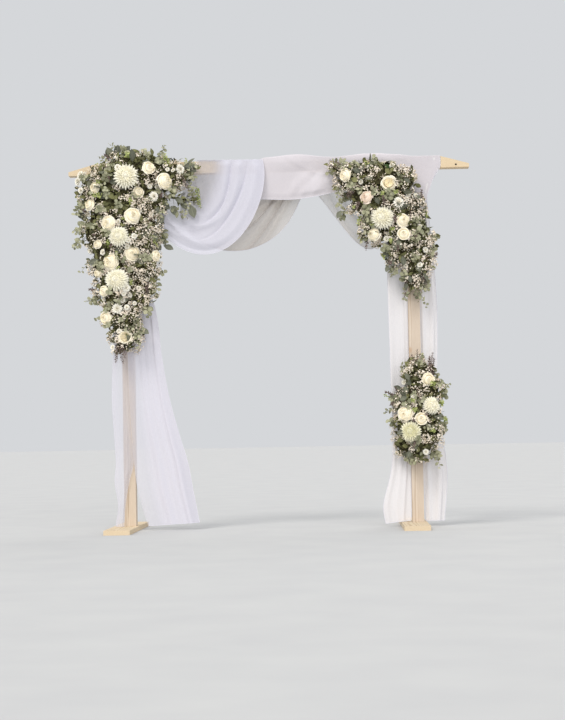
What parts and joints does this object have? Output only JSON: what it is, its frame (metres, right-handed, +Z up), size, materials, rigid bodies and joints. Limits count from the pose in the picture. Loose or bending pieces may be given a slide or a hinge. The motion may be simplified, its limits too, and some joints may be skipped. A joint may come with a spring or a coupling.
{
  "type": "wedding arch",
  "caption": "Free-standing timber ceremony arch on plank feet, draped with sheer cloth and dressed with corner flower arrangements.",
  "frame": {"origin": "on the floor, midway between the beam's two ends and between the front and back ends of the feet", "axes": "+X along the beam, to the right as guests see it; +Y away from the guests; +Z up"},
  "size_m": [2.4, 0.96, 2.27],
  "materials": {
    "pine": "sawn, bare",
    "zinc": "zinc plated",
    "foam": "wet flower foam, matt",
    "strap": "satin cable tie",
    "chiffon": "sheer, soft sheen",
    "foliage": "matt leaves and small blossoms",
    "petals": "soft matt petals"
  },
  "bodies": {
    "root": {"beam": "pine", "beam_wrap": "chiffon", "left_beam_foam": "foam", "left_beam_strap": "strap", "left_centre_rose": "petals", "left_corner_rose": "petals", "left_curtain_inner": "chiffon", "left_curtain_outer": "chiffon", "left_foliage": "foliage", "left_foot": "pine", "left_foot_bracket": "zinc", "left_head_bracket": "zinc", "left_inner_rose": "petals", "left_low_mum": "petals", "left_lower_rose": "petals", "left_middle_mum": "petals", "left_post": "pine", "left_post_foam": "foam", "left_post_strap": "strap", "left_side_rose": "petals", "left_tail_rose": "petals", "left_top_mum": "petals", "low_foliage": "foliage", "low_green_mum": "petals", "low_left_rose": "petals", "low_right_mum": "petals", "main_swag": "chiffon", "rear_swag": "chiffon", "right_beam_foam": "foam", "right_beam_strap": "strap", "right_blush_rose": "petals", "right_drape_inner": "chiffon", "right_drape_outer": "chiffon", "right_foliage": "foliage", "right_foot": "pine", "right_foot_bracket": "zinc", "right_head_bracket": "zinc", "right_inner_rose": "petals", "right_large_mum": "petals", "right_low_foam": "foam", "right_low_strap": "strap", "right_post": "pine", "right_post_foam": "foam", "right_post_strap": "strap", "right_side_rose": "petals", "right_top_rose": "petals", "side_swag": "chiffon"}
  },
  "joints": []
}
